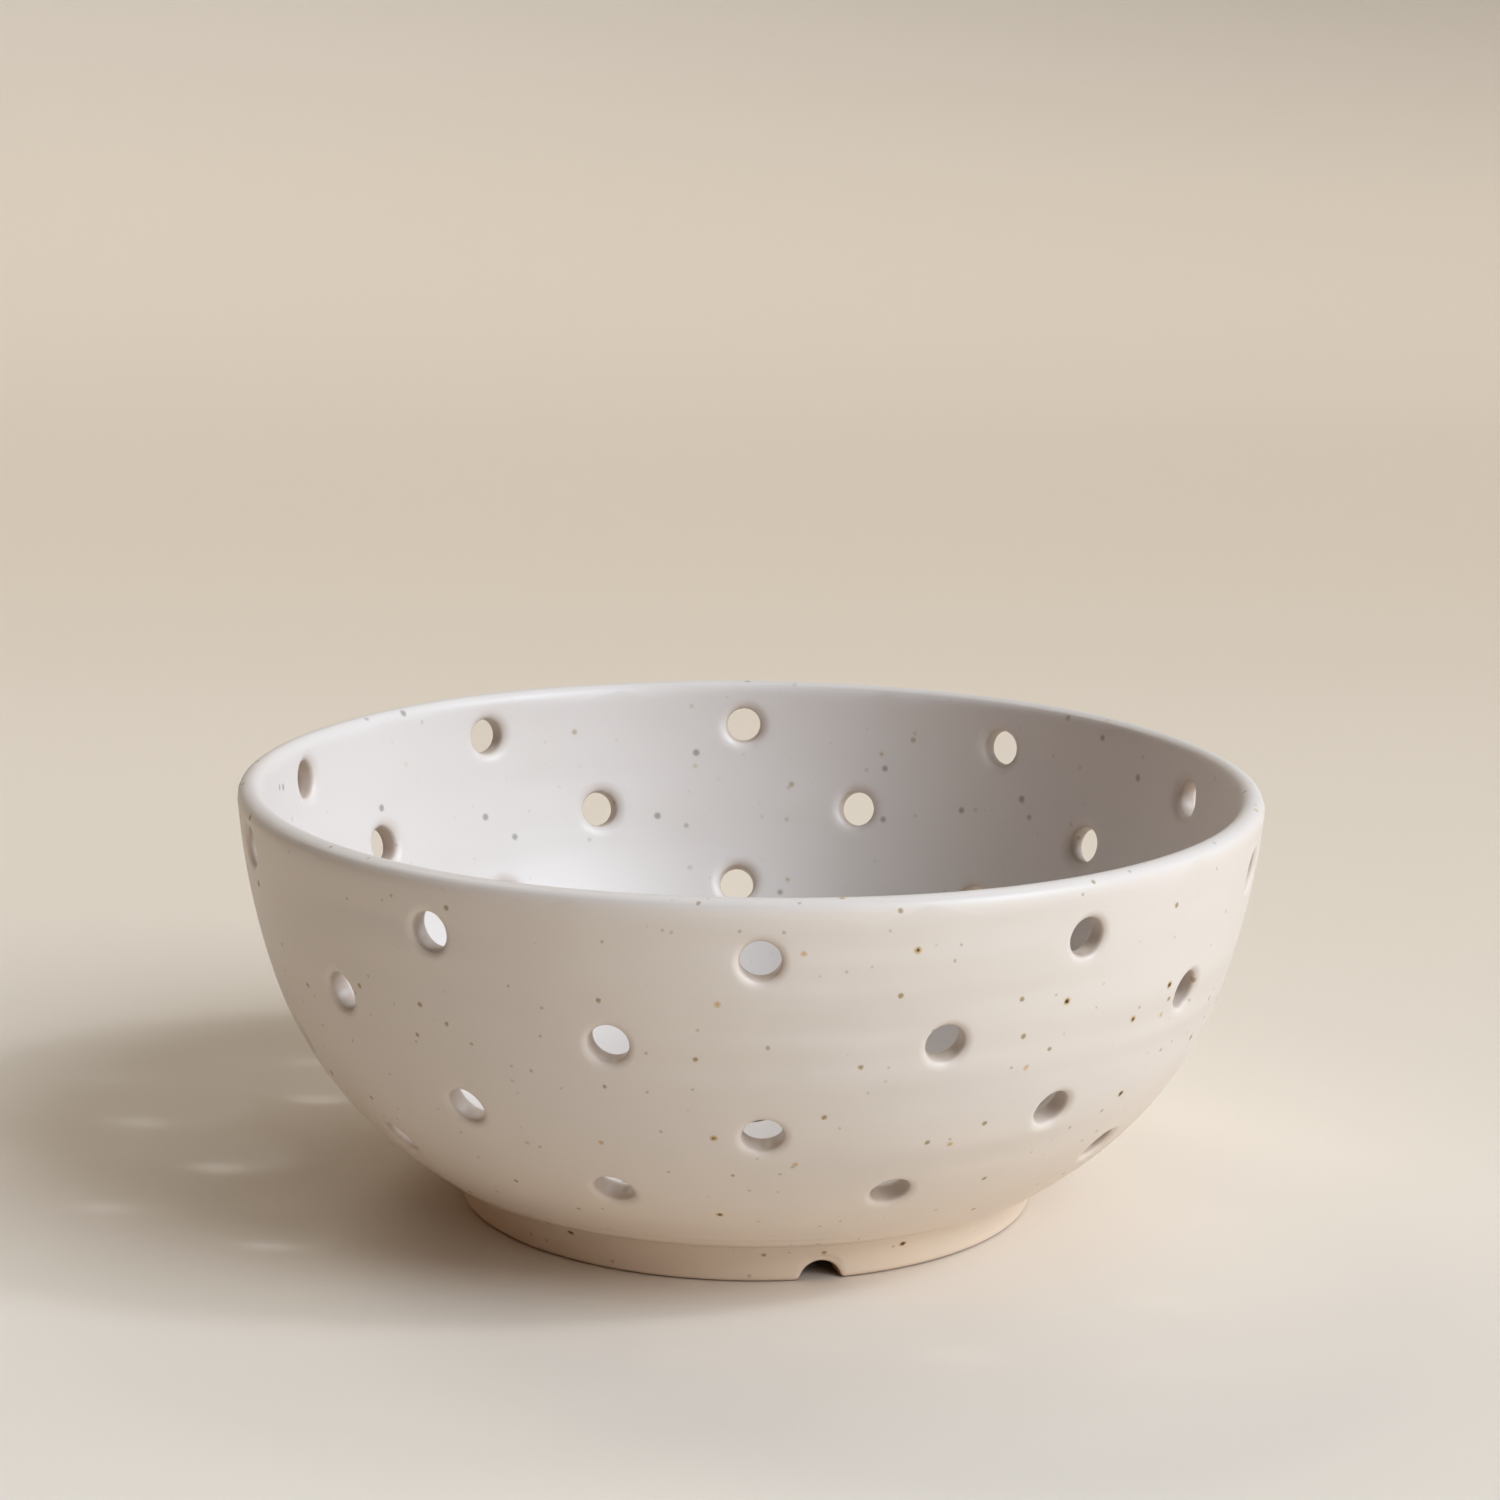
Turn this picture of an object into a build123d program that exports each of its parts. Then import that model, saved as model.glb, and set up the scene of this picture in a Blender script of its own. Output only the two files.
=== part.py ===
"""Berry colander bowl in speckled stoneware: a thrown bowl with four rows of drain holes on a notched foot ring.

Millimetres, +Z up. The origin is the centre of the base, on the surface that the bowl stands on,
and -Y is the front, the side with a foot notch a little to the right of its middle.
All sizes are those of the fired and glazed bowl.
"""

import os
from math import asin, cos, degrees, radians, sin, sqrt

from build123d import *

# Thrown bowl
rim_radius = 88.7  # outside of the wall where the rim starts to round over
bowl_height = 74.5  # from the table to the top of the rim
wall = 4.4  # thickness from the rim down to the belly
rim_lean = 4.2  # degrees that the wall leans outward at the rim
shoulder_height = 42.7  # height where the gentle upper curve turns into the belly
shoulder_lean = 17.5  # degrees that the wall leans outward at that height
under_width = 2.8  # flatter band under the belly, beside the foot ring
under_rise = 1.5  # height of that band
floor_thickness = 5.5
floor_round = 26.0  # radius inside, where the wall runs into the floor

# Foot ring
foot_radius = 50.5
foot_height = 7.5
foot_width = 5.0  # thickness of the ring below its flare
foot_flare = 4.0  # how far the ring spreads where it is luted to the bowl
flare_height = 6.2
foot_edge = 1.2  # rounding of the two lower edges
notch_count = 3
notch_turn = 14.5  # degrees from the front to the first notch, towards +X
notch_height = 3.2  # from the table to the top of a notch's arch
notch_radius = 3.5  # of that arch
notch_corner = 1.2  # rounding where a notch meets the base

# Drain holes, bored square to the wall
hole_diameter = 6.5
hole_edge = 0.8  # countersink that softens both rims of a hole
holes_per_row = 10
first_row_drop = 7.4  # distance of the first row down the wall from the start of the rim
row_steps = (-7.3, 9.0, 24.3)  # distance of the other rows down the wall from the shoulder
row_turns = (-34.8, 21.3, 1.9, 18.9)  # degrees from the front to the first hole of each row, towards +X
climbing_holes = 4  # how many of the first row's last holes climb towards the rim, as bored by eye
climb = 0.7  # how much nearer the rim each of these is than the one before it
seam_turn = -8.0  # degrees from +X to the start of the turned surface, clear of the holes
floor_hole_count = 5
floor_hole_circle = 24.0  # radius of the ring of holes in the floor

# Levels and arcs of the section, worked out from the sizes above
front = -90  # polar angle of the front
rim_rise = Vector(sin(radians(rim_lean)), cos(radians(rim_lean)))  # direction of the wall at the rim
rim_level = bowl_height - wall / 2 * (1 + rim_rise.X)
floor_level = foot_height + floor_thickness
crease_radius = foot_radius + foot_flare  # where the bowl and the foot ring meet outside
shoulder_radius = (rim_level - shoulder_height) / (sin(radians(shoulder_lean)) - rim_rise.X)
shoulder_centre = (rim_radius - shoulder_radius * rim_rise.Y, rim_level + shoulder_radius * rim_rise.X)

# The bowl: rim, wall and floor turned from one section
with BuildPart() as bowl_body:
    with BuildSketch(Plane.XZ.rotated((0, 0, seam_turn))):
        with BuildLine():
            shoulder = CenterArc(shoulder_centre, shoulder_radius, -rim_lean, rim_lean - shoulder_lean)
            belly_end = (crease_radius + under_width, foot_height + under_rise)
            belly = TangentArc(shoulder @ 1, belly_end, tangent=shoulder % 1)
            under = TangentArc(belly @ 1, (crease_radius, foot_height), tangent=belly % 1)
            belly_centre = tuple(belly.arc_center)[:2]
            inside_radius = belly.radius - wall
            floor_lean = degrees(asin((belly_centre[1] - floor_level) / inside_radius))
            inside_shoulder = CenterArc(
                shoulder_centre, shoulder_radius - wall, -rim_lean, rim_lean - shoulder_lean
            )
            inside_belly = CenterArc(belly_centre, inside_radius, -shoulder_lean, shoulder_lean - floor_lean)
            TangentArc(inside_shoulder @ 0, shoulder @ 0, tangent=rim_rise)
            Polyline(inside_belly @ 1, (0, floor_level), (0, foot_height), under @ 1)
        section = make_face()
        fillet(section.vertices().sort_by_distance(inside_belly @ 1)[0], floor_round)
    revolve(axis=Axis.Z)


def wall_plane(drop):
    """Plane on the outside of the wall at +X, facing outward, at a distance down the wall from the rim."""
    past_shoulder = drop - shoulder.length
    if past_shoulder < 0:
        centre, radius = shoulder_centre, shoulder_radius
        lean = rim_lean + degrees(drop / shoulder_radius)
    else:
        centre, radius = belly_centre, belly.radius
        lean = shoulder_lean + degrees(past_shoulder / belly.radius)
    outward = Vector(cos(radians(lean)), 0, -sin(radians(lean)))
    return Plane(Vector(centre[0], 0, centre[1]) + outward * radius, z_dir=outward)


def soften_rims():
    """Countersinks both rims of the holes that were cut last."""
    chamfer(bowl_body.edges(Select.LAST).filter_by(lambda edge: edge.is_closed), hole_edge)


# Drain holes in the wall, row by row from the rim down
with BuildPart() as wall_drill:
    Cylinder(hole_diameter / 2, 4 * wall)
row_drops = [first_row_drop] + [shoulder.length + step for step in row_steps]
for row, (drop, turn) in enumerate(zip(row_drops, row_turns)):
    row_holes = []
    for hole in range(holes_per_row):
        climbs = max(0, hole + 1 + climbing_holes - holes_per_row) if row == 0 else 0
        place = Rotation(0, 0, front + turn + hole * 360 / holes_per_row)
        row_holes.append(place * wall_plane(drop - climbs * climb).location)
    with bowl_body:
        with Locations(*row_holes):
            add(wall_drill.part, mode=Mode.SUBTRACT)
        soften_rims()

# Drain holes in the floor: one in the middle and a ring around it
with bowl_body:
    with BuildSketch(Plane.XY.offset(foot_height)):
        Circle(hole_diameter / 2)
        with PolarLocations(floor_hole_circle, floor_hole_count, front):
            Circle(hole_diameter / 2)
    extrude(amount=floor_thickness, mode=Mode.SUBTRACT)
    soften_rims()

# Shape of a drain notch: an arch whose feet round over into the base
notch_rise = notch_height - notch_radius  # level of the centre of the arch
corner_reach = sqrt((notch_radius + notch_corner) ** 2 - (notch_corner - notch_rise) ** 2)
corner_angle = degrees(asin((notch_corner - notch_rise) / (notch_radius + notch_corner)))
with BuildPart() as notch_cutter:
    with BuildSketch(Plane.YZ.offset(foot_radius - 2 * foot_width)):
        with BuildLine():
            CenterArc((0, notch_rise), notch_radius, corner_angle, 180 - 2 * corner_angle)
            right = CenterArc((corner_reach, notch_corner), notch_corner, 180 + corner_angle, 90 - corner_angle)
            left = CenterArc((-corner_reach, notch_corner), notch_corner, -90, 90 - corner_angle)
            below = (0, -notch_corner)
            Polyline(right @ 1, right @ 1 + below, left @ 0 + below, left @ 0)
        make_face()
    extrude(amount=2 * foot_width + 2 * foot_flare)

# The foot ring: turned, notched and luted to the flat under the bowl
with BuildPart() as foot_ring:
    with BuildSketch(Plane.XZ):
        with BuildLine():
            outside = Line((foot_radius, 0), (foot_radius, foot_height - flare_height))
            flare = TangentArc(outside @ 1, (crease_radius, foot_height), tangent=outside % 1)
            hollow_radius = foot_radius - foot_width
            Polyline(flare @ 1, (hollow_radius, foot_height), (hollow_radius, 0), outside @ 0)
        ring_section = make_face()
        fillet(ring_section.vertices().group_by(Axis.Y)[0], foot_edge)
    revolve(axis=Axis.Z)
    with PolarLocations(0, notch_count, front + notch_turn):
        add(notch_cutter.part, mode=Mode.SUBTRACT)

os.makedirs("parts", exist_ok=True)
for name, piece in (("bowl_body", bowl_body), ("foot_ring", foot_ring)):
    piece.part.label = name
    export_step(piece.part, f"parts/{name}.step")
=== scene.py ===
"""Speckled stoneware berry colander bowl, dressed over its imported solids.

Metres, +Z up. The origin is the centre of the base and -Y is the front. A turn is an angle
from the front towards +X, and a lean is the angle of the wall from upright.
"""

import math

import bmesh
import bpy
import numpy as np
from mathutils import Matrix, Vector


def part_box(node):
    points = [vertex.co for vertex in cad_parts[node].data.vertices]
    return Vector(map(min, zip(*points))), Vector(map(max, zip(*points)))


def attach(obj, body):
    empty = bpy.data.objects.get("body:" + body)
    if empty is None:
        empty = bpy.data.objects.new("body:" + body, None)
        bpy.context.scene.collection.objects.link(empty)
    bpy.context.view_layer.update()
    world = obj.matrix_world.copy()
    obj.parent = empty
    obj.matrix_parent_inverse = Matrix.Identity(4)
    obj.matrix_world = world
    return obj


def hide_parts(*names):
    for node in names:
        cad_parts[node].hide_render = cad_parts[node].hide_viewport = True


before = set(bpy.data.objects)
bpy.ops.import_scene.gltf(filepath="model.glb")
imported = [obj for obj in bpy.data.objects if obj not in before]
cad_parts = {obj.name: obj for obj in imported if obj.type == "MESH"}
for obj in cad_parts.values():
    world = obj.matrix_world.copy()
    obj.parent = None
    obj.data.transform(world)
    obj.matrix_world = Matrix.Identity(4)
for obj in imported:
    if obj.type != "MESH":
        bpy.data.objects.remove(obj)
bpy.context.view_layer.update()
MM = 0.001

# Sizes read from the frame
bowl_low, bowl_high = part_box("bowl_body")
foot_low, foot_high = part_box("foot_ring")
BOWL_HEIGHT = bowl_high[2]
FOOT_HEIGHT = foot_high[2]
RIM_RADIUS = (bowl_high[0] - bowl_low[0]) / 2
CREASE_RADIUS = (foot_high[0] - foot_low[0]) / 2

# Section of the thrown bowl
WALL = 4.4 * MM
RIM_LEAN = math.radians(4.2)
RIM_CROWN = 0.1  # place of the crown between the middle of the wall and its inside
SHOULDER_LEAN = math.radians(17.5)
SHOULDER_HEIGHT = 42.7 * MM
UNDER_WIDTH = 2.8 * MM
UNDER_RISE = 1.5 * MM
FLOOR_LEVEL = FOOT_HEIGHT + 5.5 * MM
FLOOR_ROUND = 26.0 * MM

# Drain holes
HOLE_RADIUS = 3.25 * MM
OUTER_EDGE = (1.5 * MM, 1.1 * MM)  # width and depth of the rounding of a hole's rim, outside and inside
INNER_EDGE = (2.2 * MM, 1.5 * MM)
HOLES_PER_ROW = 10
FIRST_ROW_DROP = 7.4 * MM  # down the wall from the start of the rim
ROW_STEPS = [-7.3 * MM, 9.0 * MM, 24.3 * MM]  # the other rows, down the wall from the shoulder
ROW_TURNS = [math.radians(turn) for turn in (1.2, 3.3, 1.9, 0.9)]  # of a hole from the middle of its share
CLIMBING_HOLES = 4  # last holes of the first row, which climb towards the rim
CLIMB = 0.7 * MM
FIRST_HOLE = -1  # the first row starts one hole to the left of the front
FLOOR_HOLES = 5
FLOOR_CIRCLE = 24.0 * MM
FLOOR_CELL = 12.0 * MM  # half the width of the band of floor that holds them
FIRST_BAND = 1.6 * MM  # reach of the first row's band of the wall up into the rounded rim
LAST_BAND = 7.2 * MM  # reach of the last row's band below its holes

# Lines left by the turning tool above the foot: distance up the wall, width and height
TURNING_LINES = [(3.4 * MM, 0.8 * MM, 0.22 * MM), (6.2 * MM, 0.6 * MM, 0.08 * MM)]

# Foot ring
FOOT_RADIUS = CREASE_RADIUS - 4.0 * MM
FOOT_WIDTH = 5.0 * MM
FLARE_HEIGHT = 6.2 * MM
FOOT_EDGE = 1.0 * MM
WIPED_FROM = math.radians(50)  # how far around that edge the glaze comes
WIPED_TO = 11.0 * MM  # under the bowl, in from the crease
GLAZED_FROM = 11.8 * MM
NOTCHES = 3
NOTCH_TURN = math.radians(14.5)
NOTCH_HEIGHT = 3.2 * MM
NOTCH_RADIUS = 3.5 * MM
NOTCH_RISE = NOTCH_HEIGHT - NOTCH_RADIUS
NOTCH_CORNER = 1.2 * MM
NOTCH_SPREAD = 6.0 * MM  # beside a notch, where the columns of faces above it even out

# Wobble left by the wheel
WOBBLE = 0.8 * MM
WOBBLE_SIZE = 60.0 * MM
WOBBLE_SEED = 4.0

# Fineness of the meshes
SECTION_POINTS = 200  # in each stretch of the section
RIM_POINTS = 40
STEPS_PER_HOLE = 20  # columns of faces across one wall hole's share of the row
CELL_ROWS = 8
EDGE_STEPS = 6
ROUNDING = np.linspace(0, math.pi / 2, EDGE_STEPS + 1)  # angles around a rounded edge
BORE_STEPS = 1
RIM_RINGS = (9, 7)  # outside and inside, from the crown of the rim to the first row
LOWER_RINGS = (32, 16)  # outside and inside, below the last row
MIDDLE_RINGS = 6  # around the hole in the middle of the floor
SEAT_RINGS = (0.15 * MM, 8.0 * MM)  # on the wiped clay under the bowl, in from the crease
FOOT_SHARES = (1.0, 0.96, 0.92, 0.87, 0.81, 0.74, 0.66, 0.56, 0.44, 0.3, 0.15)  # rings down the foot
WELD = 0.01 * MM
SHARP_FOLD = math.radians(50)  # the seat where bowl and foot are luted together
SPREAD = (0.06, 0.16, 0.31, 0.52, 0.77, 1.0)  # rings from a hole's rim out to its neighbours


class Section:
    """One line of the bowl's section, read by the distance along it. Depth goes into the clay."""

    def __init__(self, points, clay_on_left):
        self.points = points
        steps = np.hypot(*np.diff(points, axis=0).T)
        self.along = np.concatenate([[0.0], np.cumsum(steps)])
        self.length = self.along[-1]
        heading = np.gradient(points, self.along, axis=0)
        heading /= np.linalg.norm(heading, axis=1)[:, None]
        side = 1 if clay_on_left else -1
        self.into = side * np.column_stack([-heading[:, 1], heading[:, 0]])

    def radius(self, s):
        return np.interp(s, self.along, self.points[:, 0])

    def place(self, turn, s, depth=0.0):
        """Points in space at a turn, a distance along the section and a depth under its surface."""
        surface = [np.interp(s, self.along, self.points[:, i]) for i in (0, 1)]
        into = [np.interp(s, self.along, self.into[:, i]) for i in (0, 1)]
        r, z = (surface[i] + depth * into[i] for i in (0, 1))
        return np.stack([r * np.sin(turn), -r * np.cos(turn), np.broadcast_to(z, np.shape(r * turn))], -1)


def arc(centre, radius, start, end):
    """Points of a section on an arc, from one lean to another."""
    lean = np.linspace(start, end, SECTION_POINTS)
    return np.column_stack([centre[0] + radius * np.cos(lean), centre[1] - radius * np.sin(lean)])


def arc_to(start, lean, end):
    """Centre, radius and last lean of the arc that leaves start at a lean and ends at a point."""
    chord = np.subtract(start, end)
    last = 2 * math.atan2(chord[0], chord[1]) - lean
    radius = np.hypot(*chord) / (2 * math.sin((last - lean) / 2))
    centre = (start[0] - radius * math.cos(lean), start[1] + radius * math.sin(lean))
    return centre, radius, last


def line(start, end):
    """Points of a section on a straight line."""
    return np.linspace(start, end, SECTION_POINTS)


def chain(*stretches):
    """One line of points from stretches that share their ends."""
    return np.concatenate([stretches[0]] + [stretch[1:] for stretch in stretches[1:]])


# The arcs of the section
rim_level = BOWL_HEIGHT - WALL / 2 * (1 + math.sin(RIM_LEAN))
shoulder_radius = (rim_level - SHOULDER_HEIGHT) / (math.sin(SHOULDER_LEAN) - math.sin(RIM_LEAN))
shoulder_centre = (
    RIM_RADIUS - shoulder_radius * math.cos(RIM_LEAN),
    rim_level + shoulder_radius * math.sin(RIM_LEAN),
)
shoulder = arc(shoulder_centre, shoulder_radius, RIM_LEAN, SHOULDER_LEAN)
belly_end = (CREASE_RADIUS + UNDER_WIDTH, FOOT_HEIGHT + UNDER_RISE)
belly_centre, belly_radius, belly_lean = arc_to(shoulder[-1], SHOULDER_LEAN, belly_end)
belly = arc(belly_centre, belly_radius, SHOULDER_LEAN, belly_lean)
under_centre, under_radius, under_lean = arc_to(belly_end, belly_lean, (CREASE_RADIUS, FOOT_HEIGHT))
under = arc(under_centre, under_radius, belly_lean, under_lean)

inside_radius = belly_radius - WALL
round_drop = belly_centre[1] - FLOOR_LEVEL - FLOOR_ROUND
round_lean = math.asin(round_drop / (inside_radius - FLOOR_ROUND))
round_centre = (
    belly_centre[0] + (inside_radius - FLOOR_ROUND) * math.cos(round_lean),
    FLOOR_LEVEL + FLOOR_ROUND,
)
floor_round = arc(round_centre, FLOOR_ROUND, round_lean, math.pi / 2)

inside_shoulder = arc(shoulder_centre, shoulder_radius - WALL, RIM_LEAN, SHOULDER_LEAN)
rim_middle = (shoulder[0] + inside_shoulder[0]) / 2
rim_across = (shoulder[0] - inside_shoulder[0]) / 2
rim_upright = np.array([-rim_across[1], rim_across[0]])
rim_angle = np.linspace(0, math.pi / 2, RIM_POINTS)[:, None]


def half_rim(side):
    """Rounded rim from its crown to the outside, or with a side of -1 to the inside."""
    across = (side + RIM_CROWN) * np.sin(rim_angle) - RIM_CROWN
    return rim_middle + rim_upright * np.cos(rim_angle) + rim_across * across


# Both faces of the wall start at the crown of the rim
outside = Section(chain(half_rim(1), shoulder, belly, under), clay_on_left=False)
for above_crease, width, height in TURNING_LINES:
    swell = height * np.exp(-(((outside.length - above_crease - outside.along) / width) ** 2))
    outside.points -= swell[:, None] * outside.into
inside = Section(
    chain(
        half_rim(-1),
        inside_shoulder,
        arc(belly_centre, inside_radius, SHOULDER_LEAN, round_lean),
        floor_round,
        line(floor_round[-1], (0, FLOOR_LEVEL)),
    ),
    clay_on_left=True,
)
underside = Section(line((CREASE_RADIUS, FOOT_HEIGHT), (0, FOOT_HEIGHT)), clay_on_left=False)


class Clay:
    """Collects rings of points into one mesh of four-sided faces.

    Each point has four values: edge is how far it is on a rounded rim, inner is 1 on the inside of the
    bowl, the third value is 1 where the glaze is wiped off and dark clay shows, which inside the foot ring
    also stands for painted shade seen through the notches, and once is 1 on what isn't repeated around the
    axis.
    """

    def __init__(self):
        self.points, self.faces = [], []
        self.values = {"edge": [], "inner": [], "bare": [], "once": []}

    def skin(self, rings, closed=False, **values):
        """Faces between one ring and the next. A closed ring ends where it starts."""
        rings = np.asarray(rings)
        count, width = rings.shape[:2]
        start = len(self.points)
        self.points.extend(rings.reshape(-1, 3))
        for name, kept in self.values.items():
            kept.extend(np.repeat(np.broadcast_to(values.get(name, 0.0), count), width))
        for i in range(count - 1):
            for j in range(width if closed else width - 1):
                k = (j + 1) % width
                corners = (i * width + j, i * width + k, (i + 1) * width + k, (i + 1) * width + j)
                self.faces.append([start + corner for corner in corners])

    def mesh(self, name):
        made = bpy.data.meshes.new(name)
        made.from_pydata([tuple(point) for point in self.points], [], self.faces)
        for label, kept in self.values.items():
            attribute = made.attributes.new(label, "FLOAT", "POINT")
            attribute.data.foreach_set("value", np.asarray(kept, dtype=np.float32))
        return made


def rim_of_hole(section, s, rows, edge, turn, share):
    """Rings of points from the border of a hole's share of the wall, over its rounded rim, into its bore.

    The border runs between two turns, and down its sides through the distances in rows.
    """
    middle_turn, half_turn, columns = share
    grid = np.linspace(-half_turn, half_turn, columns + 1)
    steps = len(rows) - 1
    border_turn = middle_turn + np.concatenate(
        [grid[:-1], np.full(steps, half_turn), grid[:0:-1], np.full(steps, -half_turn)]
    )
    border_s = np.concatenate(
        [np.full(columns, rows[0]), rows[:-1], np.full(columns, rows[-1]), rows[:0:-1]]
    )
    count = len(border_turn)
    around = 2 * math.pi * (np.arange(count) / count - 0.25 - columns / count / 2)

    def circle(radius):
        down = s + radius * np.sin(around)
        return turn + radius * np.cos(around) / section.radius(down), down

    rings, worn = [], []
    width, depth = edge
    rim_turn, rim_s = circle(HOLE_RADIUS + width)
    for out in reversed(SPREAD):
        rings.append(
            section.place(rim_turn + (border_turn - rim_turn) * out, rim_s + (border_s - rim_s) * out)
        )
        worn.append(0.0)
    for angle in ROUNDING:
        ring_turn, ring_s = circle(HOLE_RADIUS + width * (1 - math.sin(angle)))
        rings.append(section.place(ring_turn, ring_s, depth * (1 - math.cos(angle))))
        worn.append(math.sin(angle))
    return rings, worn


def drain_hole(clay, outer, inner, turn, share, once=0.0):
    """One hole with its share of both faces of the wall.

    outer and inner are a section, the hole's distance along it and the distances of its rows of faces.
    share is its middle turn, half the turn that it spans and its number of columns.
    """
    outer_rings, outer_worn = rim_of_hole(*outer, OUTER_EDGE, turn, share)
    inner_rings, inner_worn = rim_of_hole(*inner, INNER_EDGE, turn, share)
    steps = np.linspace(0, 1, BORE_STEPS + 2)[1:-1]
    bore = [outer_rings[-1] + (inner_rings[-1] - outer_rings[-1]) * step for step in steps]
    worn = outer_worn + [1.0] * BORE_STEPS + inner_worn[::-1]
    depth = np.linspace(0, 1, 2 * (EDGE_STEPS + 1) + BORE_STEPS)
    deep = np.concatenate([np.zeros(len(SPREAD)), depth, np.ones(len(SPREAD))])
    clay.skin(outer_rings + bore + inner_rings[::-1], closed=True, edge=worn, inner=deep, once=once)


def bowl_clay():
    """The first row of holes whole, and below it the share of the bowl around one floor hole."""
    clay = Clay()
    hole_turn = 2 * math.pi / HOLES_PER_ROW
    sector_turn = 2 * math.pi / FLOOR_HOLES
    sector_columns = STEPS_PER_HOLE * HOLES_PER_ROW // FLOOR_HOLES
    turns = np.linspace(-sector_turn / 2, sector_turn / 2, sector_columns + 1)

    def belt(section, distances, **values):
        clay.skin([section.place(turns, s) for s in distances], **values)

    # Rows of holes, each in a band of the wall that ends half-way to the next
    shoulder_length = shoulder_radius * (SHOULDER_LEAN - RIM_LEAN)
    drops = [FIRST_ROW_DROP] + [shoulder_length + step for step in ROW_STEPS]

    def inner_drop(drop):
        """The inside is nearer the centres of the arcs, so the same lean comes after a shorter way."""
        past = max(0.0, drop - shoulder_length)
        return (drop - past) * (1 - WALL / shoulder_radius) + past * (1 - WALL / belly_radius)

    rim_arc, inner_rim_arc = (section.along[RIM_POINTS - 1] for section in (outside, inside))
    limits = [-FIRST_BAND] + [(a + b) / 2 for a, b in zip(drops, drops[1:])] + [drops[-1] + LAST_BAND]
    borders = [rim_arc + limit for limit in limits]
    inner_borders = [inner_rim_arc + inner_drop(limit) for limit in limits]
    even = np.linspace(0, 1, CELL_ROWS + 1)
    closer_at_rim = even**1.5

    def band(edges, row, steps):
        return edges[row] + (edges[row + 1] - edges[row]) * steps

    for row, drop in enumerate(drops):
        first = row == 0
        stagger = 0.5 if row % 2 == 1 else 0.0
        for hole in range(HOLES_PER_ROW if first else HOLES_PER_ROW // FLOOR_HOLES):
            climbs = max(0, hole + 1 + CLIMBING_HOLES - HOLES_PER_ROW) if first else 0
            down = drop - climbs * CLIMB
            steps = closer_at_rim if first else even
            middle = (FIRST_HOLE + hole + stagger) * hole_turn
            drain_hole(
                clay,
                (outside, rim_arc + down, band(borders, row, steps)),
                (inside, inner_rim_arc + inner_drop(down), band(inner_borders, row, steps)),
                middle + ROW_TURNS[row],
                (middle, hole_turn / 2, STEPS_PER_HOLE),
                once=float(first),
            )

    # Rim, from its crown to the first row on both faces
    belt(outside, np.linspace(0, borders[0], RIM_RINGS[0]))
    belt(inside, np.linspace(0, inner_borders[0], RIM_RINGS[1]), inner=1.0)

    # Below the holes, and the floor with its own holes
    belt(outside, np.linspace(borders[-1], outside.length, LOWER_RINGS[0]))
    floor_start = inside.length - FLOOR_CIRCLE - FLOOR_CELL
    belt(inside, np.linspace(inner_borders[-1], floor_start, LOWER_RINGS[1]), inner=1.0)
    under_start = underside.length - FLOOR_CIRCLE - FLOOR_CELL
    wiped, glazed = (0.0, *SEAT_RINGS, WIPED_TO), (GLAZED_FROM, under_start)
    belt(underside, wiped + glazed, bare=[1.0] * len(wiped) + [0.0] * len(glazed))
    drain_hole(
        clay,
        (underside, underside.length - FLOOR_CIRCLE, under_start + 2 * FLOOR_CELL * even),
        (inside, inside.length - FLOOR_CIRCLE, floor_start + 2 * FLOOR_CELL * even),
        0.0,
        (0.0, sector_turn / 2, sector_columns),
    )

    # The hole in the middle of the floor
    rims = []
    for section, (width, depth), inner in ((underside, OUTER_EDGE, 0.0), (inside, INNER_EDGE, 1.0)):
        rim = section.length - HOLE_RADIUS - width
        start = section.length - FLOOR_CIRCLE + FLOOR_CELL
        belt(section, np.linspace(start, rim, MIDDLE_RINGS), inner=inner)
        rims.append(
            [section.place(turns, rim + width * math.sin(a), depth * (1 - math.cos(a))) for a in ROUNDING]
        )
    worn = np.sin(ROUNDING)
    through = np.linspace(0, 1, 2 * len(ROUNDING))
    clay.skin(rims[0] + rims[1][::-1], edge=np.concatenate([worn, worn[::-1]]), inner=through)
    return clay.mesh("bowl_clay")


def notch_outline():
    """Lower outline of one notch's share of the foot, and how far the notch reaches to each side.

    The outline is points of place along the ring and height, each with its way into the clay.
    """
    reach = math.sqrt((NOTCH_RADIUS + NOTCH_CORNER) ** 2 - (NOTCH_CORNER - NOTCH_RISE) ** 2)
    tip = math.asin((NOTCH_CORNER - NOTCH_RISE) / (NOTCH_RADIUS + NOTCH_CORNER))
    share = math.pi * FOOT_RADIUS / NOTCHES
    base_steps, corner_steps, arch_steps = 30, 7, 20
    base = reach + (share - reach) * (1 - np.linspace(0, 1, base_steps) ** 1.6)
    right = [((x, 0.0), (0.0, 1.0)) for x in base]
    for angle in np.linspace(-math.pi / 2, -math.pi + tip, corner_steps)[1:]:
        way = np.array([math.cos(angle), math.sin(angle)])
        right.append((np.array([reach, NOTCH_CORNER]) + NOTCH_CORNER * way, -way))
    for angle in np.linspace(tip, math.pi / 2, arch_steps)[1:]:
        way = np.array([math.cos(angle), math.sin(angle)])
        right.append((np.array([0.0, NOTCH_RISE]) + NOTCH_RADIUS * way, way))
    points = np.array([point for point, _ in right])
    ways = np.array([way for _, way in right])
    flip = np.array([-1.0, 1.0])
    points = np.concatenate([points * flip, points[-2::-1]])
    ways = np.concatenate([ways * flip, ways[-2::-1]])
    return points, ways, reach


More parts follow.
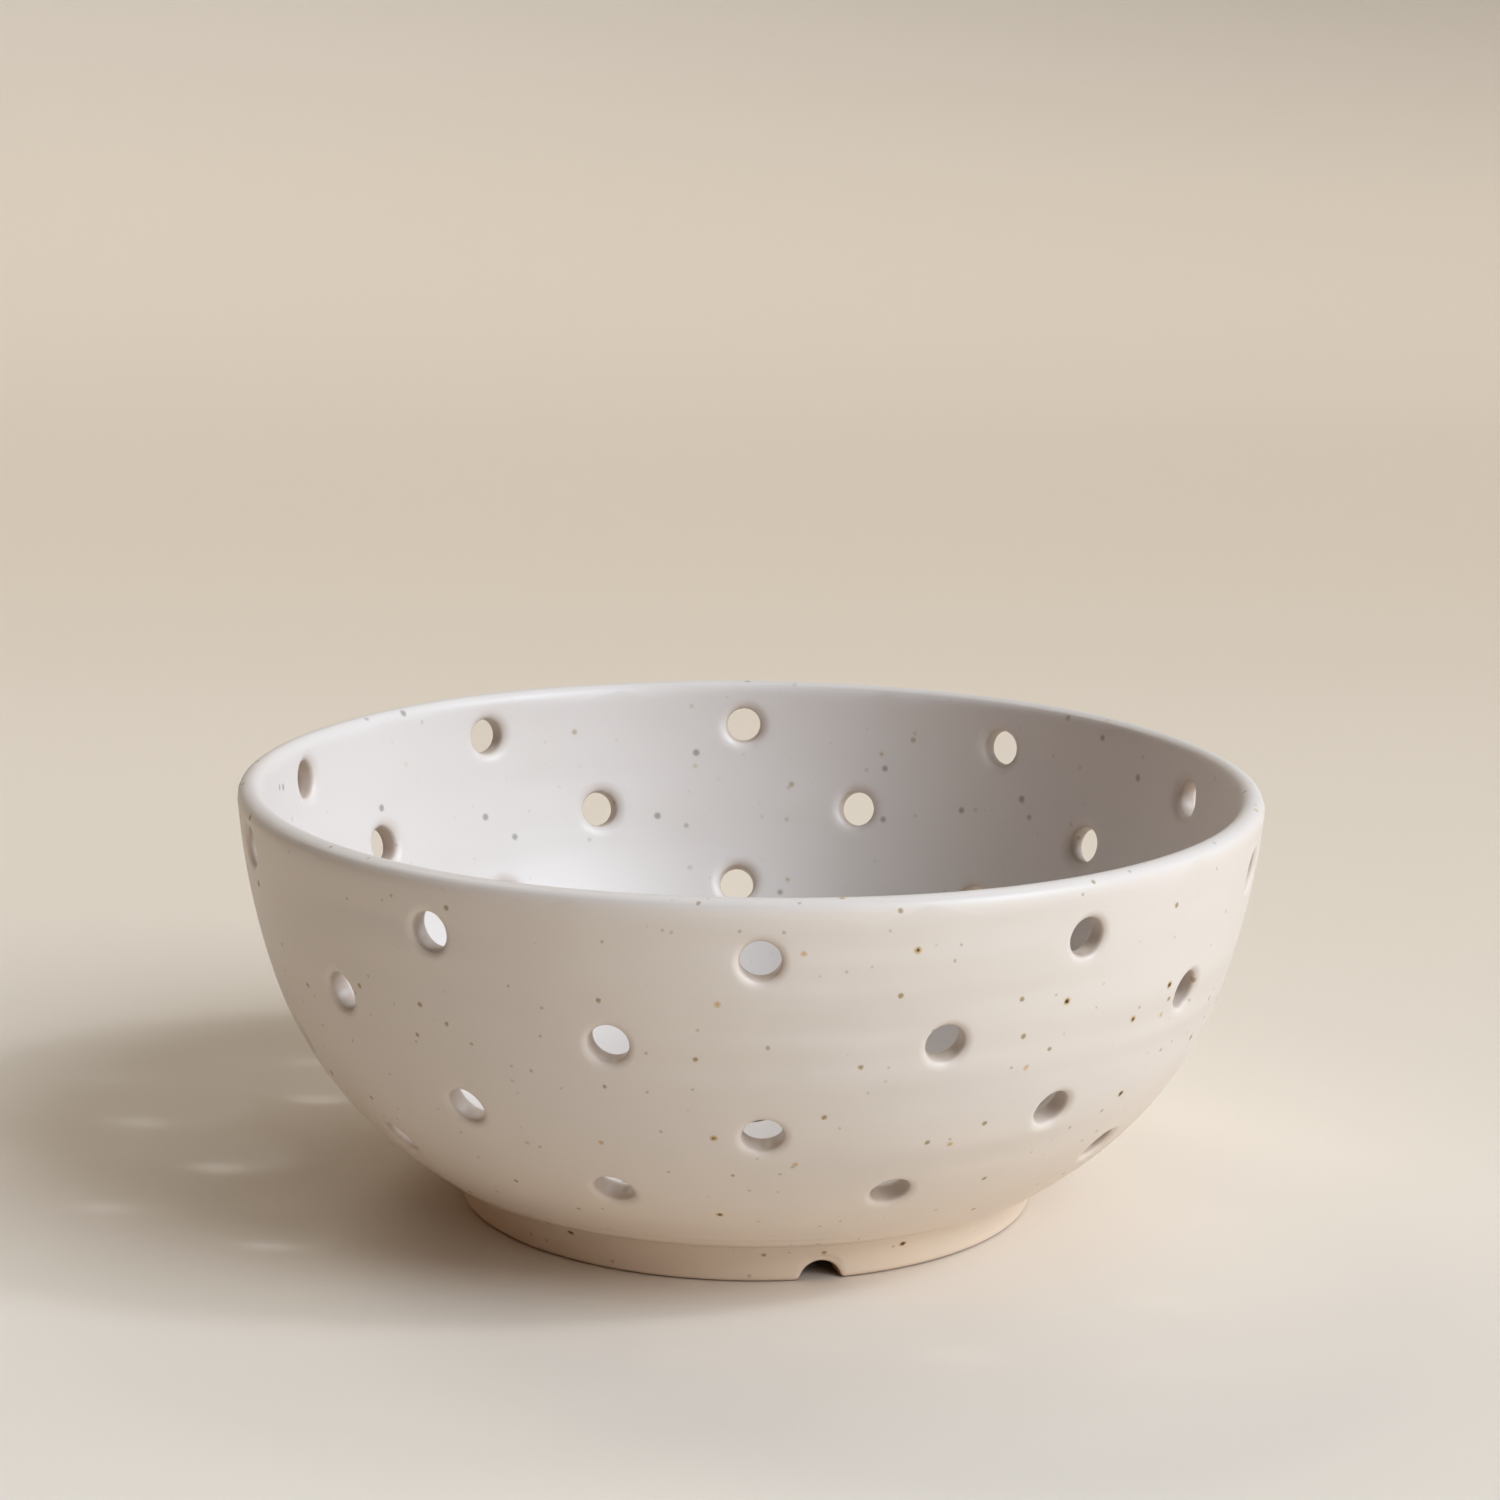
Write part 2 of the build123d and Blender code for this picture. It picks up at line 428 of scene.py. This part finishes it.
def foot_clay():
    """The share of the foot ring around one drain notch."""
    clay = Clay()
    points, ways, reach = notch_outline()
    along = np.concatenate([[0.0], np.cumsum(np.hypot(*np.diff(points, axis=0).T))])
    near = np.abs(points[:, 0]) < reach + NOTCH_SPREAD
    level = points[:, 0].copy()
    level[near] = np.interp(along[near], along[near][[0, -1]], points[near, 0][[0, -1]])
    straight_top = FOOT_HEIGHT - FLARE_HEIGHT
    flare = CREASE_RADIUS - FOOT_RADIUS
    flare_radius = (FLARE_HEIGHT**2 + flare**2) / (2 * flare)

    def outer_radius(z):
        rise = np.clip(z - straight_top, 0, FLARE_HEIGHT)
        return FOOT_RADIUS + flare_radius - np.sqrt(flare_radius**2 - rise**2)

    def ring(place, r):
        turn = NOTCH_TURN + place[:, 0] / FOOT_RADIUS
        return np.stack([r * np.sin(turn), -r * np.cos(turn), place[:, 1]], -1)

    def wall_places(share):
        low = points + FOOT_EDGE * ways
        high = np.column_stack([level, np.full(len(points), FOOT_HEIGHT)])
        return low + (high - low) * share

    hollow_radius = FOOT_RADIUS - FOOT_WIDTH
    rings, worn, bare = [], [], []
    for share in FOOT_SHARES:
        place = wall_places(share)
        rings.append(ring(place, outer_radius(place[:, 1])))
        worn.append(0.0)
        bare.append(0.0)
    for angle in ROUNDING:
        place = points + FOOT_EDGE * (1 - math.sin(angle)) * ways
        rings.append(ring(place, FOOT_RADIUS - FOOT_EDGE * (1 - math.cos(angle))))
        worn.append(math.sin(angle))
        bare.append(float(angle > WIPED_FROM))
    rings.append(ring(points, FOOT_RADIUS - FOOT_WIDTH / 2))
    worn.append(0.0)
    for angle in ROUNDING[::-1]:
        place = points + FOOT_EDGE * (1 - math.sin(angle)) * ways
        rings.append(ring(place, hollow_radius + FOOT_EDGE * (1 - math.cos(angle))))
        worn.append(math.sin(angle))
    for share in FOOT_SHARES[::-1]:
        rings.append(ring(wall_places(share), hollow_radius))
        worn.append(0.0)
    rings.append(rings[0])
    worn.append(0.0)
    # Bare clay on the wiped bottom edge and over the whole inside of the ring; inside, its dark colour is
    # painted shade for the views through the notches
    bare.extend([1.0] * (len(rings) - len(bare)))
    clay.skin(rings, edge=worn, bare=bare)
    return clay.mesh("foot_clay")


def node(tree, kind, links=None, **settings):
    """Adds a node with its settings. links gives a value or another node's output for each input."""
    made = tree.nodes.new(kind)
    for name, value in settings.items():
        setattr(made, name, value)
    for socket, value in (links or {}).items():
        if isinstance(value, bpy.types.NodeSocket):
            tree.links.new(value, made.inputs[socket])
        else:
            made.inputs[socket].default_value = value
    return made


def turning_tree():
    """Geometry Nodes that repeat a sector around the axis, weld it and give it the wheel's slight wobble.

    What the clay marks with once is left as it is, beside the sectors.
    """
    tree = bpy.data.node_groups.new("turned_from_sectors", "GeometryNodeTree")
    tree.interface.new_socket("Geometry", in_out="OUTPUT", socket_type="NodeSocketGeometry")
    tree.interface.new_socket("Clay", in_out="INPUT", socket_type="NodeSocketGeometry")
    inputs = (
        ("Count", "NodeSocketInt"),
        ("Weld", "NodeSocketFloat"),
        ("Wobble", "NodeSocketFloat"),
        ("Wobble Size", "NodeSocketFloat"),
        ("Steady Height", "NodeSocketFloat"),
        ("Seed", "NodeSocketFloat"),
        ("Material", "NodeSocketMaterial"),
    )
    for name, kind in inputs:
        tree.interface.new_socket(name, in_out="INPUT", socket_type=kind)
    given = node(tree, "NodeGroupInput").outputs
    step = node(tree, "ShaderNodeMath", {0: 2 * math.pi, 1: given["Count"]}, operation="DIVIDE").outputs[0]
    index = node(tree, "GeometryNodeInputIndex").outputs[0]
    turn = node(tree, "ShaderNodeMath", {0: index, 1: step}, operation="MULTIPLY").outputs[0]
    euler = node(tree, "ShaderNodeCombineXYZ", {"Z": turn}).outputs[0]
    rotation = node(tree, "FunctionNodeEulerToRotation", {"Euler": euler}).outputs[0]
    points = node(tree, "GeometryNodePoints", {"Count": given["Count"]}).outputs[0]
    once = node(tree, "GeometryNodeInputNamedAttribute", {"Name": "once"}).outputs[0]
    apart = node(
        tree, "GeometryNodeSeparateGeometry", {"Geometry": given["Clay"], "Selection": once}
    ).outputs
    placed = node(
        tree,
        "GeometryNodeInstanceOnPoints",
        {"Points": points, "Instance": apart["Inverted"], "Rotation": rotation},
    ).outputs[0]
    together = node(tree, "GeometryNodeJoinGeometry", {"Geometry": placed})
    tree.links.new(apart["Selection"], together.inputs["Geometry"])
    real = node(tree, "GeometryNodeRealizeInstances", {"Geometry": together.outputs[0]}).outputs[0]
    welded = node(
        tree, "GeometryNodeMergeByDistance", {"Geometry": real, "Distance": given["Weld"]}
    ).outputs[0]

    # The wobble fades out towards the foot, so that the bowl stays seated
    position = node(tree, "GeometryNodeInputPosition").outputs[0]
    size = node(tree, "ShaderNodeMath", {0: 1.0, 1: given["Wobble Size"]}, operation="DIVIDE").outputs[0]
    noise = node(
        tree,
        "ShaderNodeTexNoise",
        {"Vector": position, "W": given["Seed"], "Scale": size, "Detail": 0.0},
        noise_dimensions="4D",
    ).outputs["Color"]
    centred = node(
        tree, "ShaderNodeVectorMath", {0: noise, 1: (0.5, 0.5, 0.5)}, operation="SUBTRACT"
    ).outputs[0]
    height = node(tree, "ShaderNodeSeparateXYZ", {0: position}).outputs["Z"]
    fade = node(
        tree,
        "ShaderNodeMapRange",
        {"Value": height, "From Min": given["Steady Height"], "From Max": BOWL_HEIGHT, "To Max": 1.0},
    ).outputs[0]
    reach = node(tree, "ShaderNodeMath", {0: fade, 1: given["Wobble"]}, operation="MULTIPLY").outputs[0]
    offset = node(tree, "ShaderNodeVectorMath", {0: centred, "Scale": reach}, operation="SCALE").outputs[0]
    moved = node(tree, "GeometryNodeSetPosition", {"Geometry": welded, "Offset": offset}).outputs[0]
    smooth = node(tree, "GeometryNodeSetShadeSmooth", {"Geometry": moved}).outputs[0]
    finished = node(
        tree, "GeometryNodeSetMaterial", {"Geometry": smooth, "Material": given["Material"]}
    ).outputs[0]
    node(tree, "NodeGroupOutput", {"Geometry": finished})
    return tree


def in_scene(name, data):
    """A new object, linked to the scene."""
    made = bpy.data.objects.new(name, data)
    bpy.context.scene.collection.objects.link(made)
    return made


def turned_piece(name, clay, tree, material, **values):
    """A finished piece: the clay repeated by the tree, made a plain mesh with its faces outward."""
    piece = in_scene(name, clay)
    modifier = piece.modifiers.new("turning", "NODES")
    modifier.node_group = tree
    sockets = {item.name: item.identifier for item in tree.interface.items_tree if item.in_out == "INPUT"}
    modifier[sockets["Material"]] = material
    for label, value in values.items():
        modifier[sockets[label.replace("_", " ").title()]] = value
    evaluated = piece.evaluated_get(bpy.context.evaluated_depsgraph_get())
    mesh = bpy.data.meshes.new_from_object(evaluated)
    piece.modifiers.remove(modifier)
    piece.data = mesh
    mesh.name = name
    shell = bmesh.new()
    shell.from_mesh(mesh)
    bmesh.ops.recalc_face_normals(shell, faces=shell.faces)
    for fold in shell.edges:
        fold.smooth = fold.calc_face_angle(0.0) < SHARP_FOLD
    shell.to_mesh(mesh)
    shell.free()
    return piece


def colour(code):
    """Linear colour of an sRGB hex value."""
    parts = [int(code[i:i + 2], 16) / 255 for i in (1, 3, 5)]
    linear = [part / 12.92 if part <= 0.04045 else ((part + 0.055) / 1.055) ** 2.4 for part in parts]
    return (*linear, 1.0)


def new_material(name):
    """A new material with its node tree and its shader."""
    material = bpy.data.materials.new(name)
    material.use_nodes = True
    return material, material.node_tree, material.node_tree.nodes["Principled BSDF"]


# Sizes in the glaze, in millimetres
CLOUD_WIDTH = 30.0
CLOUD_WAVER = 8.0  # how far the clouds move its thin lower edge up and down
THIN_BELOW, FULL_ABOVE = -2.0, 40.0  # heights on the outside
RIM_COAT = (2.2, 0.4)  # start and end of the thick coat over the rim, below its crown
GRIT_WIDTH = 0.5
GRIT_JITTER = 0.3
RING_SPACING = 9.0
RING_LENGTH = 90.0  # around the wall
RING_RELIEF = 1.0
RIPPLE_WIDTH = 2.2
RIPPLE_RELIEF = 0.02


def specks(tree, place, where, strength, spacing, share, radius, blur, seed):
    """Mask of round specks in a share of the cells, with spacing, radius and blur in millimetres.

    The cells fill space and the surface cuts them, so the specks come in all sizes up to the radius.
    """
    shift = {0: place, 1: (seed, 2 * seed, 3 * seed)}
    moved = node(tree, "ShaderNodeVectorMath", shift, operation="ADD").outputs[0]
    cells = node(tree, "ShaderNodeTexVoronoi", {"Vector": moved, "Scale": 1 / spacing}).outputs
    chance = node(tree, "ShaderNodeSeparateColor", {0: cells["Color"]}).outputs[0]
    chosen = node(tree, "ShaderNodeMath", {0: chance, 1: share}, operation="LESS_THAN").outputs[0]
    ends = {
        "Value": cells["Distance"],
        "From Min": radius / spacing,
        "From Max": (radius - blur) / spacing,
        "To Max": strength,
    }
    mask = node(tree, "ShaderNodeMapRange", ends, interpolation_type="SMOOTHSTEP").outputs[0]
    for limit in (chosen, where):
        mask = node(tree, "ShaderNodeMath", {0: mask, 1: limit}, operation="MULTIPLY").outputs[0]
    return mask


def iron(tree, place, inner):
    """Masks and colours of the iron in the clay, in specks up to 1.9 mm across.

    The thick glaze inside hides most of it, and shows blurred specks instead.
    """
    grit = node(
        tree, "ShaderNodeTexNoise", {"Vector": place, "Scale": 1 / GRIT_WIDTH, "Detail": 1.0}
    ).outputs["Color"]
    jitter = node(
        tree, "ShaderNodeVectorMath", {0: grit, "Scale": GRIT_JITTER}, operation="SCALE"
    ).outputs[0]
    rough = node(tree, "ShaderNodeVectorMath", {0: place, 1: jitter}, operation="ADD").outputs[0]
    shown = node(tree, "ShaderNodeMath", {0: inner, 1: -0.7, 2: 1.0}, operation="MULTIPLY_ADD").outputs[0]
    layers = (  # colour, place, where, strength, spacing, share of the cells, radius, blur and seed
        ("#C0922A", rough, shown, 0.75, 6.0, 0.25, 0.90, 0.42, 11.0),  # honey haloes
        ("#1C1007", rough, shown, 0.96, 6.0, 0.25, 0.56, 0.20, 11.0),  # iron in the haloes
        ("#8C6A1C", rough, shown, 0.75, 5.0, 0.34, 0.64, 0.36, 23.0),  # olive freckles
        ("#7B6549", rough, shown, 0.48, 3.4, 0.50, 0.45, 0.34, 37.0),  # pepper
        ("#665A48", place, inner, 0.58, 6.5, 0.55, 0.95, 0.60, 53.0),  # blurred in thick glaze
    )
    return [(specks(tree, *layer), code) for code, *layer in layers]


def thrown_relief(tree, place, thick):
    """Throwing rings about 5 to 9 mm apart that waver around the wall, under a skin of fine ripples."""
    stretch = (1 / RING_LENGTH, 1 / RING_LENGTH, 1 / RING_SPACING)
    drawn = node(tree, "ShaderNodeVectorMath", {0: place, 1: stretch}, operation="MULTIPLY").outputs[0]
    rings = node(tree, "ShaderNodeTexNoise", {"Vector": drawn, "Scale": 1.0, "Detail": 1.0}).outputs[0]
    centred = node(tree, "ShaderNodeMath", {0: rings, 1: 0.5}, operation="SUBTRACT").outputs[0]
    soft = node(tree, "ShaderNodeMath", {0: thick, 1: -0.8, 2: 1.0}, operation="MULTIPLY_ADD").outputs[0]
    swell = node(tree, "ShaderNodeMath", {0: centred, 1: soft}, operation="MULTIPLY").outputs[0]
    thrown = node(tree, "ShaderNodeBump", {"Height": swell, "Distance": RING_RELIEF * MM}).outputs[0]
    ripple = node(
        tree, "ShaderNodeTexNoise", {"Vector": place, "Scale": 1 / RIPPLE_WIDTH, "Detail": 2.0}
    ).outputs[0]
    skin = {"Height": ripple, "Distance": RIPPLE_RELIEF * MM, "Normal": thrown}
    return node(tree, "ShaderNodeBump", skin).outputs[0]


def stoneware_glaze(name):
    """Satin oatmeal glaze, dipped and fired on iron-bearing stoneware.

    The eye sees a soft eggshell sheen, white where the glaze is thick inside the bowl and toasted buff
    where it runs thin at the foot and on edges. Deep in the holes' bores it is brown, partly thin glaze
    and partly painted shade. Iron grains melt through it as near-black specks with honey-brown haloes,
    olive-brown freckles and fine pepper. The wheel leaves faint rings. Under the foot the glaze is wiped
    off and the dry, toasted clay shows; the same dark clay inside the foot ring is also painted shade,
    seen through the notches.
    """
    material, tree, shader = new_material(name)
    place = node(tree, "ShaderNodeTexCoord").outputs["Object"]
    place = node(tree, "ShaderNodeVectorMath", {0: place, "Scale": 1 / MM}, operation="SCALE").outputs[0]
    height = node(tree, "ShaderNodeSeparateXYZ", {0: place}).outputs["Z"]
    inner, edge, bare = (
        node(tree, "ShaderNodeAttribute", attribute_name=label).outputs["Fac"]
        for label in ("inner", "edge", "bare")
    )

    # Thickness of the glaze: cloudy, thin low on the outside, thick inside and over the rim; and painted
    # shade, with some thin glaze, deep in the holes' bores
    cloud = node(
        tree, "ShaderNodeTexNoise", {"Vector": place, "Scale": 1 / CLOUD_WIDTH, "Detail": 3.0}
    ).outputs[0]
    waver = node(
        tree, "ShaderNodeMath", {0: cloud, 1: 2 * CLOUD_WAVER, 2: -CLOUD_WAVER}, operation="MULTIPLY_ADD"
    ).outputs[0]
    uneven = node(tree, "ShaderNodeMath", {0: height, 1: waver}, operation="ADD").outputs[0]
    coat_start, coat_end = (BOWL_HEIGHT / MM - drop for drop in RIM_COAT)
    steps = (  # a value, the start and end of its smooth step, and what it reaches there
        (uneven, THIN_BELOW, FULL_ABOVE, 1.0),
        (height, coat_start, coat_end, 1.0),
        (cloud, 0.45, 0.75, 0.2),
        (edge, 0.75, 1.0, 0.38),
    )
    shares = []
    for value, start, end, top in steps:
        ends = {"Value": value, "From Min": start, "From Max": end, "To Max": top}
        shares.append(node(tree, "ShaderNodeMapRange", ends, interpolation_type="SMOOTHSTEP").outputs[0])
    upper, over_rim, clouded, bore_shade_and_thin_glaze = shares
    thick = node(tree, "ShaderNodeMath", {0: inner, 1: over_rim}, operation="MAXIMUM").outputs[0]
    rounded = node(tree, "ShaderNodeMath", {0: edge, 1: 0.08}, operation="MULTIPLY").outputs[0]

    # Colour, from the thin glaze at the foot on: each coat covers a share of the ones before it
    coats = [
        (upper, "#DED3C8"),
        (thick, "#DAD2CC"),
        (clouded, "#CFC3B5"),
        (rounded, "#C79A6C"),
        # Painted shade deep in the holes' rims and bores, mixed with the brown of thin glaze there
        (bore_shade_and_thin_glaze, "#86694C"),
        *iron(tree, place, inner),
        # Dark bare clay where the glaze is wiped off, which inside the foot ring is also painted shade
        (bare, "#845C3B"),
    ]
    tone = colour("#E7D3BD")
    for share, code in coats:
        over = {0: share, 6: tone, 7: colour(code)}
        tone = node(tree, "ShaderNodeMix", over, data_type="RGBA").outputs[2]
    tree.links.new(tone, shader.inputs["Base Color"])

    # Roughness of satin glaze, a little uneven, and of dry clay
    satin = node(tree, "ShaderNodeMapRange", {"Value": cloud, "To Min": 0.36, "To Max": 0.48}).outputs[0]
    sheen = node(tree, "ShaderNodeMix", {0: bare, 2: satin, 3: 0.85}).outputs[0]
    tree.links.new(sheen, shader.inputs["Roughness"])
    tree.links.new(thrown_relief(tree, place, thick), shader.inputs["Normal"])
    return material


bowl_glaze = stoneware_glaze("satin_oatmeal_glaze")
foot_glaze = stoneware_glaze("satin_oatmeal_glaze_wiped_foot")
turning = turning_tree()
wheel = {"weld": WELD, "wobble_size": WOBBLE_SIZE, "steady_height": FOOT_HEIGHT, "seed": WOBBLE_SEED}
bowl = turned_piece(
    "glazed_bowl", bowl_clay(), turning, bowl_glaze, count=FLOOR_HOLES, wobble=WOBBLE, **wheel
)
foot = turned_piece("glazed_foot", foot_clay(), turning, foot_glaze, count=NOTCHES, wobble=0.0, **wheel)
for piece, cad_node, slot in ((bowl, "bowl_body", "speckled_glaze"), (foot, "foot_ring", "foot_glaze")):
    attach(piece, "root")
    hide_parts(cad_node)


# Camera, matched to the photograph's view of the bowl
camera_data = bpy.data.cameras.new("camera")
camera_data.sensor_width = 36.0
camera_data.lens = 89.0
camera_data.clip_start = 0.01
camera = in_scene("camera", camera_data)
CAMERA_PLACE = (-0.3 * MM, -630.0 * MM, 213.6 * MM)
CAMERA_PITCH = math.radians(12.06)
CAMERA_ROLL = math.radians(0.81)
camera.matrix_world = (
    Matrix.Translation(CAMERA_PLACE)
    @ Matrix.Rotation(math.pi / 2 - CAMERA_PITCH, 4, "X")
    @ Matrix.Rotation(CAMERA_ROLL, 4, "Z")
)
bpy.context.scene.camera = camera

# Table and backdrop in one sweep
SWEEP_SIDE = 4.0
SWEEP_FRONT = -6.0
SWEEP_BACK = 1.1
SWEEP_BEND = 0.9
SWEEP_TOP = 2.5
SWEEP_STEPS = 24


def backdrop_paper():
    """Matt paper sweep.

    The eye sees a plain ground with no shine, pale at the front of the table and beige at its back, and a
    backdrop painted greyer to the right, a painted shade for the light that falls off across it.
    """
    material, tree, shader = new_material("matt_backdrop_paper")
    shader.inputs["Roughness"].default_value = 0.75
    place = node(tree, "ShaderNodeTexCoord").outputs["Object"]
    axes = node(tree, "ShaderNodeSeparateXYZ", {0: place}).outputs
    tones = {
        "front": colour("#E4DACD"),
        "middle": colour("#ECDDC9"),
        "back": colour("#EBD8C0"),
        "left": colour("#D4C8B8"),
        # Painted shade: the dark right end of the backdrop
        "right": colour("#ACA090"),
    }
    blends = (  # what is made, from which two tones, along which axis, and from where to where on it
        ("near", "front", "middle", "Y", -0.15, 0.3),
        ("table", "near", "back", "Y", 0.2, 0.8),
        # Painted shade: the backdrop darkens from left to right
        ("wall", "left", "right", "X", -0.5, 0.7),
        ("paper", "table", "wall", "Z", 0.0, 0.3),
    )
    for made, first, second, axis, start, end in blends:
        ends = {"Value": axes[axis], "From Min": start, "From Max": end}
        share = node(tree, "ShaderNodeMapRange", ends, interpolation_type="SMOOTHSTEP").outputs[0]
        over = {0: share, 6: tones[first], 7: tones[second]}
        tones[made] = node(tree, "ShaderNodeMix", over, data_type="RGBA").outputs[2]
    tree.links.new(tones["paper"], shader.inputs["Base Color"])
    return material


def sweep():
    """Sheet that lies on the table and bends up behind the bowl."""
    mesh = bpy.data.meshes.new("paper_sweep")
    profile = [(SWEEP_FRONT, 0.0), (SWEEP_BACK, 0.0)]
    for angle in np.linspace(0, math.pi / 2, SWEEP_STEPS + 1)[1:]:
        profile.append((SWEEP_BACK + SWEEP_BEND * math.sin(angle), SWEEP_BEND * (1 - math.cos(angle))))
    profile.append((SWEEP_BACK + SWEEP_BEND, SWEEP_TOP))
    points = [(side, y, z) for y, z in profile for side in (-SWEEP_SIDE, SWEEP_SIDE)]
    faces = [(2 * i, 2 * i + 1, 2 * i + 3, 2 * i + 2) for i in range(len(profile) - 1)]
    mesh.from_pydata(points, [], faces)
    mesh.polygons.foreach_set("use_smooth", [True] * len(faces))
    mesh.materials.append(backdrop_paper())
    made = in_scene("paper_sweep", mesh)


sweep()

# Light: a cool window on the right, plainer light from behind and above, a weak warm lamp low on the left
LAMPS = (  # name, turn and elevation in degrees, width of the source in degrees, strength and colour
    ("window", 60, 40, 35, 2.25, "#E5F1FF"),
    ("window_middle", 77, 42, 6, 0.51, "#E5F1FF"),
    ("window_sill", 45, 15, 40, 0.81, "#FFFEFD"),
    ("side_window", 120, 15, 30, 0.88, "#DAEAFF"),
    ("far_window", 150, 40, 40, 0.87, "#FBFDFF"),
    ("back_window", -150, 40, 30, 1.25, "#FFF9E9"),
    ("back_ceiling", -165, 52, 50, 0.32, "#FDFFFF"),
    ("ceiling", 75, 70, 60, 0.36, "#FFF8ED"),
    ("room_lamp", -65, 6, 30, 0.13, "#FFA654"),
)
for name, turn, elevation, width, strength, code in LAMPS:
    light = bpy.data.lights.new(name, "SUN")
    light.energy = strength
    light.angle = math.radians(width)
    light.color = colour(code)[:3]
    lamp = in_scene(name, light)
    around, above = math.radians(turn), math.radians(elevation)
    flat = math.cos(above)
    source = Vector((flat * math.sin(around), -flat * math.cos(around), math.sin(above)))
    lamp.rotation_euler = source.to_track_quat("Z", "Y").to_euler()

# The rest of the room is dim
world = bpy.data.worlds.new("room")
world.use_nodes = True
world.node_tree.nodes["Background"].inputs["Color"].default_value = colour("#FFE9D2")
world.node_tree.nodes["Background"].inputs["Strength"].default_value = 0.02
bpy.context.scene.world = world
bpy.context.scene.view_settings.view_transform = "Standard"
